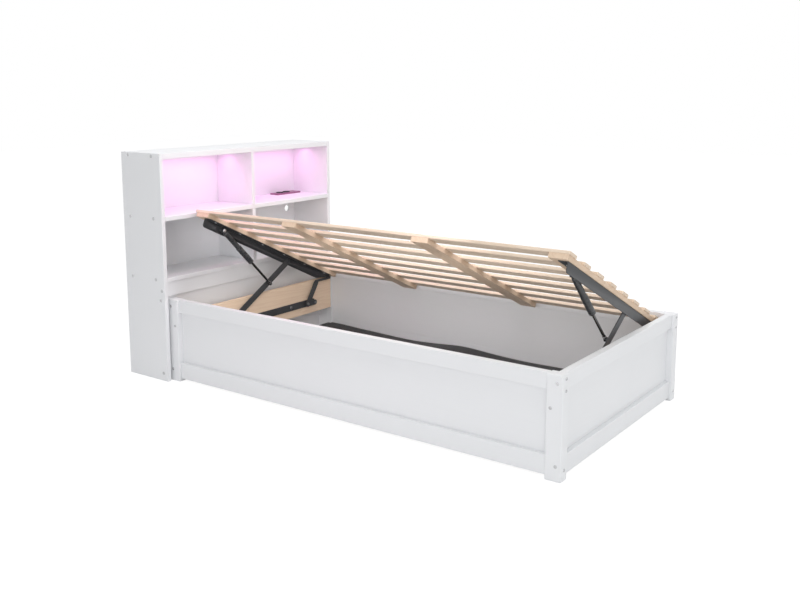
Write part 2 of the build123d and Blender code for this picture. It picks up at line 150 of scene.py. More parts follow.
def makeEdgeWear():
    # Finds the edges that hands and tools rub, and softens the light on them. On white paint its mask also
    # lays a painted highlight along the edges.
    group, given, gives = newGroup(
        "edgeWear",
        [("Width", "Float", 0.002), ("Breakup", "Float", 60.0), ("Strength", "Float", 1.0)],
        [("Mask", "Float"), ("Normal", "Vector")],
    )
    soft = addNode(group, "Bevel", {"Radius": given["Width"]}, samples=4).outputs[0]
    facing = addNode(group, "NewGeometry").outputs["Normal"]
    dot = addNode(group, "VectorMath", {0: soft, 1: facing}, operation="DOT_PRODUCT").outputs["Value"]
    edge = remap(group, dot, 0.995, 0.85)
    coords = addNode(group, "TexCoord").outputs["Object"]
    patches = addNode(group, "TexNoise", {"Vector": coords, "Scale": given["Breakup"], "Detail": 3.0})
    broken = calc(group, "MULTIPLY", edge, remap(group, patches.outputs["Fac"], 0.35, 0.65))
    mask = calc(group, "MULTIPLY", broken, given["Strength"], clamp=True)
    group.links.new(mask, gives["Mask"])
    group.links.new(soft, gives["Normal"])
    return group


def makeSmudge():
    # Slow cloudy differences that handling and age leave in any finish.
    group, given, gives = newGroup(
        "smudge",
        [("Scale", "Float", 4.0), ("Low", "Float", 0.3), ("High", "Float", 0.5)],
        [("Mask", "Float"), ("Roughness", "Float")],
    )
    coords = addNode(group, "TexCoord").outputs["Object"]
    inputs = {"Vector": coords, "Scale": given["Scale"], "Detail": 5.0, "Roughness": 0.6}
    cloud = remap(group, addNode(group, "TexNoise", inputs).outputs["Fac"], 0.3, 0.7)
    span = calc(group, "SUBTRACT", given["High"], given["Low"])
    rough = calc(group, "ADD", calc(group, "MULTIPLY", cloud, span), given["Low"])
    group.links.new(cloud, gives["Mask"])
    group.links.new(rough, gives["Roughness"])
    return group


def makeGrain():
    # Growth rings cut lengthwise, fine pores and a few darker streaks. Vector is stretched along the board.
    group, given, gives = newGroup(
        "grain",
        [
            ("Vector", "Vector", None),
            ("Pale", "Color", (0.8, 0.7, 0.5, 1.0)),
            ("Deep", "Color", (0.6, 0.45, 0.3, 1.0)),
            ("Figure", "Float", 0.5),
            ("Pores", "Float", 0.3),
        ],
        [("Color", "Color"), ("Height", "Float"), ("Mask", "Float")],
    )
    inputs = {"Vector": given["Vector"], "Scale": 0.7, "Detail": 2.0}
    wander = addNode(group, "TexNoise", inputs).outputs["Color"]
    centred = addNode(group, "VectorMath", {0: wander, 1: (0.5, 0.5, 0.5)}, operation="SUBTRACT").outputs[0]
    pushed = addNode(group, "VectorMath", {0: centred, "Scale": 1.6}, operation="SCALE").outputs[0]
    bent = addNode(group, "VectorMath", {0: given["Vector"], 1: pushed}, operation="ADD").outputs[0]
    inputs = {"Vector": bent, "Scale": 1.1, "Distortion": 1.2, "Detail": 2.0, "Detail Scale": 1.5}
    rings = addNode(
        group, "TexWave", inputs, wave_type="BANDS", bands_direction="DIAGONAL", wave_profile="SAW"
    ).outputs["Fac"]
    rings = calc(group, "POWER", rings, 2.2)
    streaks = addNode(group, "TexNoise", {"Vector": bent, "Scale": 2.4, "Detail": 6.0, "Roughness": 0.65})
    streak = remap(group, streaks.outputs["Fac"], 0.42, 0.75)
    inputs = {"Vector": given["Vector"], "Scale": 14.0, "Detail": 4.0, "Roughness": 0.7}
    fine = addNode(group, "TexNoise", inputs)
    pores = remap(group, fine.outputs["Fac"], 0.55, 0.8)
    figure = calc(group, "MULTIPLY", calc(group, "ADD", rings, streak), given["Figure"])
    shade = calc(group, "ADD", figure, calc(group, "MULTIPLY", pores, given["Pores"]), clamp=True)
    group.links.new(mixColours(group, shade, given["Pale"], given["Deep"]), gives["Color"])
    group.links.new(calc(group, "SUBTRACT", 1.0, shade), gives["Height"])
    group.links.new(pores, gives["Mask"])
    return group


def makePeel():
    # The fine ripple of a sprayed coat, with a few specks in it.
    group, given, gives = newGroup(
        "peel",
        [("Scale", "Float", 300.0), ("Specks", "Float", 0.2)],
        [("Height", "Float"), ("Mask", "Float")],
    )
    coords = addNode(group, "TexCoord").outputs["Object"]
    inputs = {"Vector": coords, "Scale": given["Scale"]}
    ripple = addNode(group, "TexNoise", {**inputs, "Detail": 2.0}).outputs["Fac"]
    cells = addNode(group, "TexVoronoi", inputs).outputs["Distance"]
    specks = calc(group, "MULTIPLY", remap(group, cells, 0.25, 0.05), given["Specks"])
    group.links.new(calc(group, "ADD", ripple, specks), gives["Height"])
    group.links.new(specks, gives["Mask"])
    return group


edgeWear = makeEdgeWear()
smudge = makeSmudge()
grain = makeGrain()
peel = makePeel()
print("shader groups made")


# Materials

def newMaterial(name, **plain):
    material = bpy.data.materials.new(name)
    material.use_nodes = True
    shader = material.node_tree.nodes["Principled BSDF"]
    for key, value in plain.items():
        shader.inputs[key].default_value = value
    return material, material.node_tree, shader


def wearOf(tree, values):
    inputs = {"Width": values["edge"], "Breakup": values["edgeBreakup"], "Strength": values["wearAndHighlightStrength"]}
    return useGroup(tree, edgeWear, inputs)


def marksOf(tree, values, rough=None):
    low, high = rough or values["rough"]
    return useGroup(tree, smudge, {"Scale": values["markScale"], "Low": low, "High": high})


def coatOf(tree, values):
    return useGroup(tree, peel, {"Scale": values["coatScale"], "Specks": values["specks"]})


def alongAxis(axis, values):
    stretch = [values["across"]] * 3
    stretch["XYZ".index(axis)] = values["along"]
    return stretch


def scaled(colour, shares):
    # A colour with each part times its share, and never above one.
    return [min(1.0, part * share) for part, share in zip(colour, shares)] + [1.0]


def finish(tree, shader, values, colour, marks, height, normal=None):
    tree.links.new(colour, shader.inputs["Base Color"])
    tree.links.new(marks["Roughness"], shader.inputs["Roughness"])
    inputs = {"Height": height, "Strength": values["relief"], "Distance": values["depth"]}
    if normal is not None:
        inputs["Normal"] = normal
    tree.links.new(addNode(tree, "Bump", inputs).outputs[0], shader.inputs["Normal"])


whitePaint = {
    "colour": (0.79, 0.80, 0.815, 1.0),
    "shade": (0.765, 0.775, 0.79, 1.0),
    # lighter than the paint itself: on white paint this is a painted highlight along the edges
    "wornAndHighlitEdge": (0.86, 0.865, 0.87, 1.0),
    "along": 1.2,
    "across": 30.0,
    "figure": 0.14,
    "pores": 0.10,
    "grainShare": 1.4,
    "edge": 0.0014,
    "edgeBreakup": 45.0,
    "wearAndHighlightStrength": 0.7,
    "markScale": 5.0,
    "rough": (0.34, 0.46),
    "coatScale": 420.0,
    "specks": 0.1,
    "relief": 0.18,
    "depth": 0.00008,
}


def makeWhitePaint(name, axis):
    # Satin white over solid wood or board, with a trace of the wood under it along one axis. Its edges are
    # painted lighter, a painted highlight.
    values = whitePaint
    material, tree, shader = newMaterial(name)
    under = useGroup(tree, grain, {
        "Vector": placePattern(tree, alongAxis(axis, values)), "Pale": values["colour"],
        "Deep": values["shade"], "Figure": values["figure"], "Pores": values["pores"],
    })
    wornAndLitEdges = wearOf(tree, values)
    # painted highlight: the edge mask mixes a lighter white into the paint along every edge
    colour = mixColours(tree, wornAndLitEdges["Mask"], under["Color"], values["wornAndHighlitEdge"])
    grainHeight = calc(tree, "MULTIPLY", under["Height"], values["grainShare"])
    height = calc(tree, "ADD", grainHeight, coatOf(tree, values)["Height"])
    finish(tree, shader, values, colour, marksOf(tree, values), height, wornAndLitEdges["Normal"])
    return material


bareWood = {
    "pale": (0.77, 0.64, 0.51),
    "deep": (0.61, 0.45, 0.32),
    "wornAndHighlitEdge": (0.82, 0.71, 0.59, 1.0),
    "along": 1.6,
    "across": 26.0,
    "pores": 0.22,
    "tone": 0.25,
    "edge": 0.0012,
    "edgeBreakup": 70.0,
    "wearAndHighlightStrength": 0.5,
    "markScale": 9.0,
    "rough": (0.56, 0.72),
    "relief": 0.5,
    "depth": 0.00012,
}


def makeBareWood(name, axis, turn=0.0, figure=0.5, tint=(1.0, 1.0, 1.0)):
    # Planed and sanded wood with no finish. The grain runs along one axis, after a turn about X.
    values = bareWood
    material, tree, shader = newMaterial(name)
    pale = scaled(values["pale"], tint)
    wood = useGroup(tree, grain, {
        "Vector": placePattern(tree, alongAxis(axis, values), (turn, 0.0, 0.0)), "Pale": pale,
        "Deep": scaled(values["deep"], tint), "Figure": figure, "Pores": values["pores"],
    })
    wornAndLitEdges = wearOf(tree, values)
    marks = marksOf(tree, values)
    toned = mixColours(tree, calc(tree, "MULTIPLY", marks["Mask"], values["tone"]), wood["Color"], pale)
    colour = mixColours(tree, wornAndLitEdges["Mask"], toned, values["wornAndHighlitEdge"])
    finish(tree, shader, values, colour, marks, wood["Height"], wornAndLitEdges["Normal"])
    return material


coatedSteel = {
    "colour": (0.040, 0.042, 0.046),
    "wornAndHighlitEdge": (0.16, 0.165, 0.17, 1.0),
    "dusty": (0.075, 0.078, 0.082),
    "tone": 0.5,
    "edge": 0.0008,
    "edgeBreakup": 120.0,
    "wearAndHighlightStrength": 0.8,
    "markScale": 14.0,
    "rough": (0.34, 0.5),
    "coatScale": 900.0,
    "specks": 0.5,
    "relief": 0.4,
    "depth": 0.00004,
}


def makeCoatedSteel(name, rough=None, lift=1.0):
    # Powder coat on pressed steel.
    values = coatedSteel
    material, tree, shader = newMaterial(name)
    wornAndLitEdges = wearOf(tree, values)
    marks = marksOf(tree, values, rough)
    base, dusty = scaled(values["colour"], [lift] * 3), scaled(values["dusty"], [lift] * 3)
    toned = mixColours(tree, calc(tree, "MULTIPLY", marks["Mask"], values["tone"]), base, dusty)
    colour = mixColours(tree, wornAndLitEdges["Mask"], toned, values["wornAndHighlitEdge"])
    finish(tree, shader, values, colour, marks, coatOf(tree, values)["Height"], wornAndLitEdges["Normal"])
    return material


brightSteel = {
    "colour": (0.60, 0.60, 0.61),
    "dull": (0.42, 0.42, 0.43),
    "edge": 0.0004,
    "edgeBreakup": 200.0,
    "wearAndHighlightStrength": 0.6,
    "markScale": 60.0,
    "rough": (0.22, 0.38),
    "coatScale": 1500.0,
    "specks": 0.2,
    "relief": 0.25,
    "depth": 0.00002,
}


def makeBrightSteel(name, tint=1.0, rough=None):
    # Zinc plated or polished steel with faint cloudy marks and a fine ripple.
    values = brightSteel
    material, tree, shader = newMaterial(name, Metallic=1.0)
    wornAndLitEdges = wearOf(tree, values)
    marks = marksOf(tree, values, rough)
    bright, dull = scaled(values["colour"], [tint] * 3), scaled(values["dull"], [tint] * 3)
    colour = mixColours(tree, marks["Mask"], bright, dull)
    finish(tree, shader, values, colour, marks, coatOf(tree, values)["Height"], wornAndLitEdges["Normal"])
    return material


liningCloth = {
    "colour": (0.011, 0.011, 0.012, 1.0),
    "fleck": (0.028, 0.028, 0.030, 1.0),
    "sheen": 0.1,
    "sheenRough": 0.5,
    "fibreScale": 700.0,
    "fibreTwist": 1.2,
    "fleckRange": (0.45, 0.7),
    "fleckShare": 0.6,
    "cloudShare": 0.25,
    "dotScale": 260.0,
    "dotScatter": 0.15,
    "dotRange": (0.22, 0.34),
    "markScale": 6.0,
    "rough": (0.78, 0.92),
    "relief": 0.6,
    "depth": 0.0003,
}


def makeLiningCloth(name):
    # Thin pressed felt: matted fibres with a small stamped pattern of dots.
    values = liningCloth
    plain = {"Sheen Weight": values["sheen"], "Sheen Roughness": values["sheenRough"]}
    material, tree, shader = newMaterial(name, **plain)
    coords = placePattern(tree, (1.0, 1.0, 1.0))
    inputs = {"Vector": coords, "Scale": values["fibreScale"], "Distortion": values["fibreTwist"]}
    fibres = addNode(tree, "TexNoise", {**inputs, "Detail": 5.0, "Roughness": 0.75}).outputs["Fac"]
    inputs = {"Vector": coords, "Scale": values["dotScale"], "Randomness": values["dotScatter"]}
    dots = remap(tree, addNode(tree, "TexVoronoi", inputs).outputs["Distance"], *values["dotRange"])
    marks = marksOf(tree, values)
    fleck = calc(tree, "MULTIPLY", remap(tree, fibres, *values["fleckRange"]), values["fleckShare"])
    cloud = calc(tree, "MULTIPLY", marks["Mask"], values["cloudShare"])
    toned = calc(tree, "ADD", fleck, cloud, clamp=True)
    colour = mixColours(tree, toned, values["colour"], values["fleck"])
    finish(tree, shader, values, colour, marks, calc(tree, "ADD", fibres, dots))
    return material


plastic = {
    "tone": 0.3,
    "edge": 0.0006,
    "edgeBreakup": 150.0,
    "wearAndHighlightStrength": 0.6,
    "markScale": 30.0,
    "coatScale": 1600.0,
    "specks": 0.4,
    "relief": 0.3,
    "depth": 0.00003,
}


def makePlastic(name, colour, pale, rough):
    # Moulded plastic with a fine spark-eroded texture.
    values = plastic
    material, tree, shader = newMaterial(name)
    wornAndLitEdges = wearOf(tree, values)
    marks = marksOf(tree, values, rough)
    toned = mixColours(tree, calc(tree, "MULTIPLY", marks["Mask"], values["tone"]), colour, pale)
    shown = mixColours(tree, wornAndLitEdges["Mask"], toned, pale)
    finish(tree, shader, values, shown, marks, coatOf(tree, values)["Height"], wornAndLitEdges["Normal"])
    return material


lampGlow = {
    "colour": (1.0, 0.36, 0.86),
    "core": (1.0, 0.9, 1.0, 1.0),
    "cover": (0.9, 0.8, 0.88, 1.0),
    # the cover's base colour over each lamp, lighter: painted lamp light
    "coverPaintedGlow": (1.0, 0.95, 1.0, 1.0),
    "coverRough": 0.4,
    "spotScale": 19.0,
    "spotShare": 0.55,
    "faceStrength": 3.0,
    "watts": 0.46,
    "width": 0.010,
    "below": 0.012,
}


def makeLampFace(name):
    # The lit diffuser: brighter over each lamp inside it. The glow is the lamp's own, and the cover's base
    # colour is also painted lighter over each lamp, a painted glow.
    values = lampGlow
    plain = {"Emission Strength": values["faceStrength"], "Roughness": values["coverRough"]}
    material, tree, shader = newMaterial(name, **plain)
    inputs = {"Vector": placePattern(tree, (1.0, 1.0, 1.0)), "Scale": values["spotScale"], "Distortion": 0.0}
    wave = addNode(tree, "TexWave", inputs, wave_type="BANDS", bands_direction="Y").outputs["Fac"]
    spots = remap(tree, wave, 0.0, 1.0, 0.0, values["spotShare"])
    glow = mixColours(tree, spots, (*values["colour"], 1.0), values["core"])
    # painted lamp light: the cover's base colour is made lighter over each lamp
    cover = mixColours(tree, spots, values["cover"], values["coverPaintedGlow"])
    tree.links.new(glow, shader.inputs["Emission Color"])
    tree.links.new(cover, shader.inputs["Base Color"])
    return material


liftJoint = joints["platform_lift"]
liftAngle = radians(max(liftJoint["range_deg"], key=abs))
hinge = Vector(liftJoint["pos_m"])
tipUp = Matrix.Translation(hinge) @ Matrix.Rotation(-liftAngle, 4, "X") @ Matrix.Translation(-hinge)
layFlat = tipUp.inverted()

paintX = makeWhitePaint("whitePaintAlong", "X")
paintY = makeWhitePaint("whitePaintAcross", "Y")
paintZ = makeWhitePaint("whitePaintUpright", "Z")
slatWood = makeBareWood("slatWood", "X", liftAngle, figure=0.30)
bearerWood = makeBareWood("bearerWood", "Y", liftAngle, figure=0.35, tint=(0.94, 0.88, 0.82))
plankWood = makeBareWood("plankWood", "Y", figure=0.3, tint=(1.22, 1.15, 1.08))
battenWood = makeBareWood("battenWood", "X", figure=0.5)
gearSteel = makeCoatedSteel("gearSteel")
strutSteel = makeCoatedSteel("strutSteel", (0.2, 0.34), lift=0.8)
rodSteel = makeBrightSteel("rodSteel", tint=0.25, rough=(0.16, 0.28))
boltSteel = makeBrightSteel("boltSteel", tint=1.1)
barBoltSteel = makeBrightSteel("barBoltSteel", tint=0.55)
clothMaterial = makeLiningCloth("liningCloth")
outletPlastic = makePlastic("outletPlastic", (0.26, 0.10, 0.18, 1.0), (0.34, 0.15, 0.25, 1.0), (0.26, 0.4))
socketPlastic = makePlastic(
    "socketPlastic", (0.014, 0.013, 0.014, 1.0), (0.04, 0.04, 0.042, 1.0), (0.4, 0.55)
)
channelPlastic = makePlastic("channelPlastic", (0.74, 0.74, 0.75, 1.0), (0.85, 0.85, 0.86, 1.0), (0.35, 0.5))
lampFace = makeLampFace("lampFace")
print("materials made")


# Small helpers for pieces

mergeDistance = 0.00001
recessDraft = 0.0001  # how far the wall of a recess leans in
rimSteps = (0.35, 0.65)  # how far in each step of a rounded rim goes, as a share of the rim
crossArm = 0.26  # half the width of a cross socket's arm, as a share of its reach


def flatBox(name):
    # Lowest and highest corner of a platform node with the platform lying flat.
    points = [layFlat @ vertex.co for vertex in nodes[name].data.vertices]
    low = Vector(map(min, zip(*points)))
    high = Vector(map(max, zip(*points)))
    return low, high


def solidsOf(name):
    # The box of each separate solid of a node.
    mesh = bmesh.new()
    mesh.from_mesh(nodes[name].data)
    bmesh.ops.remove_doubles(mesh, verts=mesh.verts, dist=mergeDistance)
    seen = set()
    boxes = []
    for start in mesh.verts:
        if start in seen:
            continue
        group = [start]
        seen.add(start)
        for vertex in group:
            for edge in vertex.link_edges:
                other = edge.other_vert(vertex)
                if other not in seen:
                    seen.add(other)
                    group.append(other)
        points = [vertex.co.copy() for vertex in group]
        boxes.append((Vector(map(min, zip(*points))), Vector(map(max, zip(*points)))))
    mesh.free()
    return boxes


def addPiece(mesh, name, body, material, replaced=(), sharp=35.0, weighted=False):
    data = bpy.data.meshes.new(name)
    mesh.to_mesh(data)
    mesh.free()
    for face in data.polygons:
        face.use_smooth = True
    data.set_sharp_from_angle(angle=radians(sharp))
    data.materials.append(material)
    piece = bpy.data.objects.new(name, data)
    bpy.context.scene.collection.objects.link(piece)
    if weighted:
        modifier = piece.modifiers.new("flatFaces", "WEIGHTED_NORMAL")
        modifier.keep_sharp = True
    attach(piece, body)
    if replaced:
        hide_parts(*replaced)
    return piece


def dress(material, *names):
    for name in names:
        nodes[name].data.materials.clear()
        nodes[name].data.materials.append(material)


def addBox(mesh, size, middle):
    made = bmesh.ops.create_cube(mesh, size=1.0)["verts"]
    bmesh.ops.scale(mesh, vec=size, verts=made)
    bmesh.ops.translate(mesh, vec=middle, verts=made)
    return made


def recess(mesh, verts, pick, rim, depth):
    # Sinks the lowest or highest face of a box, and leaves a rim round it.
    faces = {face for vertex in verts for face in vertex.link_faces}
    face = pick(faces, key=lambda face: face.calc_center_median().z)
    bmesh.ops.inset_individual(mesh, faces=[face], thickness=rim, depth=0.0)
    bmesh.ops.inset_individual(mesh, faces=[face], thickness=recessDraft, depth=-depth)


def roundedBoard(low, high, ease, turn=None):
    # A board with every edge rounded over.
    mesh = bmesh.new()
    addBox(mesh, high - low, (low + high) / 2)
    bmesh.ops.bevel(
        mesh, geom=mesh.edges[:], offset=ease, segments=3, profile=0.5, affect="EDGES", material=-1
    )
    if turn is not None:
        bmesh.ops.transform(mesh, matrix=turn, verts=mesh.verts)
    return mesh


def lathe(mesh, profile, place, steps=32):
    # Turns (radius, height) points about the z axis of place.
    ring = [mesh.verts.new((radius, 0.0, height)) for radius, height in profile]
    edges = [mesh.edges.new(pair) for pair in zip(ring, ring[1:])]
    made = bmesh.ops.spin(
        mesh, geom=ring + edges, axis=(0, 0, 1), cent=(0, 0, 0), angle=2 * pi, steps=steps, use_merge=True
    )
    fresh = set(ring) | {item for item in made["geom_last"] if isinstance(item, bmesh.types.BMVert)}
    group = list(fresh)
    for vertex in group:
        for edge in vertex.link_edges:
            other = edge.other_vert(vertex)
            if other not in fresh:
                fresh.add(other)
                group.append(other)
    bmesh.ops.transform(mesh, matrix=place, verts=group)
    bmesh.ops.remove_doubles(mesh, verts=group, dist=mergeDistance / 2)


def facing(place, direction):
    # A matrix whose z axis points along direction.
    return Matrix.Translation(place) @ Vector(direction).to_track_quat("Z", "Y").to_matrix().to_4x4()


def socketRadius(angle, reach, corners):
    # Distance to the side of a regular socket with that many corners, or of a cross when there are none.
    if corners:
        part = 2 * pi / corners
        return reach * cos(part / 2) / cos((angle % part) - part / 2)
    turned = abs((angle + pi / 4) % (pi / 2) - pi / 4)
    arm = crossArm * reach
    return reach / cos(turned) if tan(turned) < arm / reach else min(reach, arm / sin(turned))


def addHead(mesh, place, head):
    # A fastener's head on the z = 0 plane of place, with a rounded rim and a socket.
    made = bmesh.ops.create_circle(mesh, cap_ends=True, segments=head["sides"], radius=head["radius"])
    base = made["verts"]
    face = base[0].link_faces[0]
    grown = bmesh.ops.extrude_face_region(mesh, geom=[face])["geom"]
    top = next(item for item in grown if isinstance(item, bmesh.types.BMFace))
    every = set(base) | set(top.verts)
    bmesh.ops.translate(mesh, vec=(0, 0, head["height"] - head["rim"]), verts=list(top.verts))
    top.normal_update()
    up = 1.0 if top.normal.z > 0 else -1.0
    for share in rimSteps:
        rise = up * head["rim"] * (1 - share)
        bmesh.ops.inset_individual(mesh, faces=[top], thickness=head["rim"] * share, depth=rise)
        every |= set(top.verts)
    inset = head["radius"] - head["rim"] - head["reach"]
    bmesh.ops.inset_individual(mesh, faces=[top], thickness=inset, depth=0.0)
    every |= set(top.verts)
    for index, vertex in enumerate(top.verts):
        angle = Vector((1.0, 0.0)).angle_signed(vertex.co.xy, 0.0) % (2 * pi)
        away = socketRadius(angle, head["reach"], head["corners"])
        vertex.co.xy = vertex.co.xy.normalized() * away
    floor = bmesh.ops.extrude_discrete_faces(mesh, faces=[top])["faces"][0]
    bmesh.ops.translate(mesh, vec=(0, 0, -head["depth"]), verts=list(floor.verts))
    every |= set(floor.verts)
    bmesh.ops.transform(mesh, matrix=place, verts=list(every))


# Boards of the headboard and the frame, each in place of its plain solid

boardEdges = {
    "headboard_side_near": (0.0015, paintZ),
    "headboard_side_far": (0.0015, paintZ),
    "headboard_top": (0.0015, paintY),
    "upper_shelf": (0.0012, paintY),
    "lower_shelf": (0.0012, paintY),
    "upper_divider": (0.0012, paintZ),
    "lower_divider": (0.0012, paintZ),
    "headboard_lip": (0.0015, paintY),
    "post_head_near": (0.003, paintZ),
    "post_head_far": (0.003, paintZ),
    "post_foot_near": (0.003, paintZ),
    "post_foot_far": (0.003, paintZ),
    "near_top_rail": (0.0022, paintX),
    "far_top_rail": (0.0022, paintX),
    "foot_top_rail": (0.0022, paintY),
    "near_bottom_rail": (0.0022, paintX),
    "far_bottom_rail": (0.0022, paintX),
    "foot_bottom_rail": (0.0022, paintY),
    "plank_head": (0.0016, plankWood),
    "plank_foot": (0.0016, plankWood),
}
frameTopDrop = 0.013  # the photograph shows the frame's posts and top rails ending this much lower


def makeBoards():
    for name, (ease, material) in boardEdges.items():
        low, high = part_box(name)
        if name.startswith("post_") or name.endswith("_top_rail"):
            high = high - Vector((0.0, 0.0, frameTopDrop))
        mesh = roundedBoard(low, high, ease)
        addPiece(mesh, name + "_board", "bed", material, [name], weighted=True)
    dress(paintY, "headboard_back", "headboard_panel", "foot_panel")
    dress(paintX, "near_panel", "far_panel")
    dress(paintZ, "corner_battens")
    dress(battenWood, "floor_battens", "floor_ledges")


makeBoards()
print("boards made")


# Slatted platform

platformWood = {"slatEase": 0.0028, "screwInset": 0.016, "screwRise": 0.0004}
woodScrew = {
    "radius": 0.0042, "height": 0.0012, "rim": 0.0004, "reach": 0.0024, "depth": 0.0009, "sides": 24,
    "corners": 0, "turn": 0.6,
}
bearerNames = ("bearer_head", "bearer_middle_head", "bearer_middle_foot", "bearer_foot")
slatNames = ["slat_" + str(number) for number in range(1, 9)]


def makePlatform():
    for name in slatNames:
        low, high = flatBox(name)
        mesh = roundedBoard(low, high, platformWood["slatEase"], tipUp)
        addPiece(mesh, name + "_board", "platform", slatWood, [name], weighted=True)
    dress(bearerWood, *bearerNames)
    screws = bmesh.new()
    for slat in slatNames:
        slatLow, slatHigh = flatBox(slat)
        top = slatHigh.z - woodScrew["height"] + platformWood["screwRise"]
        for bearer in bearerNames:
            bearerLow, bearerHigh = flatBox(bearer)
            middle = (bearerLow.x + bearerHigh.x) / 2
            inset = platformWood["screwInset"]
            for side, y in ((-1, slatLow.y + inset), (1, slatHigh.y - inset)):
                place = tipUp @ Matrix.Translation((middle + side * inset, y, top))
                turn = Matrix.Rotation(side * woodScrew["turn"] + middle, 4, "Z")
                addHead(screws, place @ turn, woodScrew)
    addPiece(screws, "slat_screws", "platform", boltSteel)


makePlatform()
print("platform made")


# Bolts and caps

frameBolt = {
    "radius": 0.0062, "height": 0.0022, "rim": 0.0008, "reach": 0.0034, "depth": 0.0021, "sides": 24,
    "corners": 6, "turn": 0.4,
}
boardBolt = {
    "radius": 0.0075, "height": 0.0016, "rim": 0.0006, "reach": 0.0036, "depth": 0.0015, "sides": 24,
    "corners": 6, "turn": 0.4,
}
barBolt = {
    "radius": 0.0080, "height": 0.0040, "rim": 0.0016, "reach": 0.0042, "depth": 0.0028, "sides": 24,
    "corners": 6, "turn": 0.5,
}


def outward(low, high):
    # The flat direction of a thin solid, away from the middle of the bed.
    size = high - low
    axis = min(range(3), key=lambda index: size[index])
    middle = (low + high) / 2
    direction = Vector((0.0, 0.0, 0.0))
    direction[axis] = 1.0 if middle[axis] > 0 else -1.0
    base = middle - direction * size[axis] / 2
    return base, direction


def makeBolts():
    for node, head in (("frame_bolts", frameBolt), ("headboard_caps", boardBolt)):
        mesh = bmesh.new()
        for number, (low, high) in enumerate(solidsOf(node)):
            base, direction = outward(low, high)
            place = facing(base, direction) @ Matrix.Rotation(head["turn"] * number, 4, "Z")
            addHead(mesh, place, head)
        addPiece(mesh, node + "_heads", "bed", boltSteel, [node])
    for end, direction in (("head", 1.0), ("foot", -1.0)):
        node = "bar_bolts_" + end
        mesh = bmesh.new()
        for number, (low, high) in enumerate(solidsOf(node)):
            start = low.x if direction > 0 else high.x
            base = Vector((start, (low.y + high.y) / 2, (low.z + high.z) / 2))
            place = facing(base, (direction, 0, 0)) @ Matrix.Rotation(barBolt["turn"] * number, 4, "Z")
            addHead(mesh, place, barBolt)
        addPiece(mesh, node + "_heads", "bed", barBoltSteel, [node])


makeBolts()
print("bolts made")


# Lifting gear

domeSteps = ((0.35, 0.94), (0.65, 0.76), (0.88, 0.45), (1.0, 0.12))  # shares of its radius and its rise
strut = {
    "eyeRadius": 0.010,
    "eyeHole": 0.0053,
    "eyeHalf": 0.006,
    "eyeCorner": 0.0012,
    "eyeSeat": 0.002,
    "rodEyeHalf": 0.004,
    "neck": 0.0065,
    "neckEnd": 0.0135,
    "body": 0.012,
    "sleeve": 0.014,
    "sleeveStart": 0.130,
    "end": 0.245,
    "rod": 0.0058,
    "rodStart": 0.185,
    "mouthDepth": 0.012,
    "rodEnd": 0.0078,
    "rivetRadius": 0.0085,
    "rivetRise": 0.0026,
}
# Steps of the turned outlines, each past the radius and the height that its piece starts from.
strutSteps = {
    "shoulder": ((-0.0025, 0.0155), (-0.0006, 0.0175), (0.0, 0.020)),
    "bodyEnd": ((0.0, -0.003),),
    "sleeveFoot": ((-0.0012, -0.0006), (0.0, 0.0012)),
    "sleeveLip": (
        (0.0, -0.016), (-0.0014, -0.0145), (-0.0014, -0.012), (0.0, -0.0105),
        (0.0, -0.0024), (-0.0009, -0.0006), (-0.0028, 0.0),
    ),
    "mouth": ((0.0022, 0.0), (0.0016, -0.0014), (0.0004, -0.002), (0.0004, -0.012)),
    "rodFoot": ((-0.0005, 0.0), (0.0, 0.0005)),
    "rodNut": ((0.0, -0.020), (0.0022, -0.0185), (0.0022, -0.012), (0.0006, -0.0085)),
}


def stepped(radius, height, name):
    return [(radius + out, height + up) for out, up in strutSteps[name]]


def ringProfile(half):
    # A strut's eye with rounded corners, as (radius, height) points.
    inner, outer, soft = strut["eyeHole"], strut["eyeRadius"], strut["eyeCorner"]
    cut = 0.3 * soft
    return [
        (inner, -half), (outer - soft, -half), (outer - cut, -half + cut), (outer, -half + soft),
        (outer, half - soft), (outer - cut, half - cut), (outer - soft, half), (inner, half), (inner, -half),
    ]


def domeProfile(radius, rise):
    steps = [(out * radius, up * rise) for out, up in domeSteps]
    return [(0.0, rise), *steps, (radius, 0.0), (0.0, 0.0)]


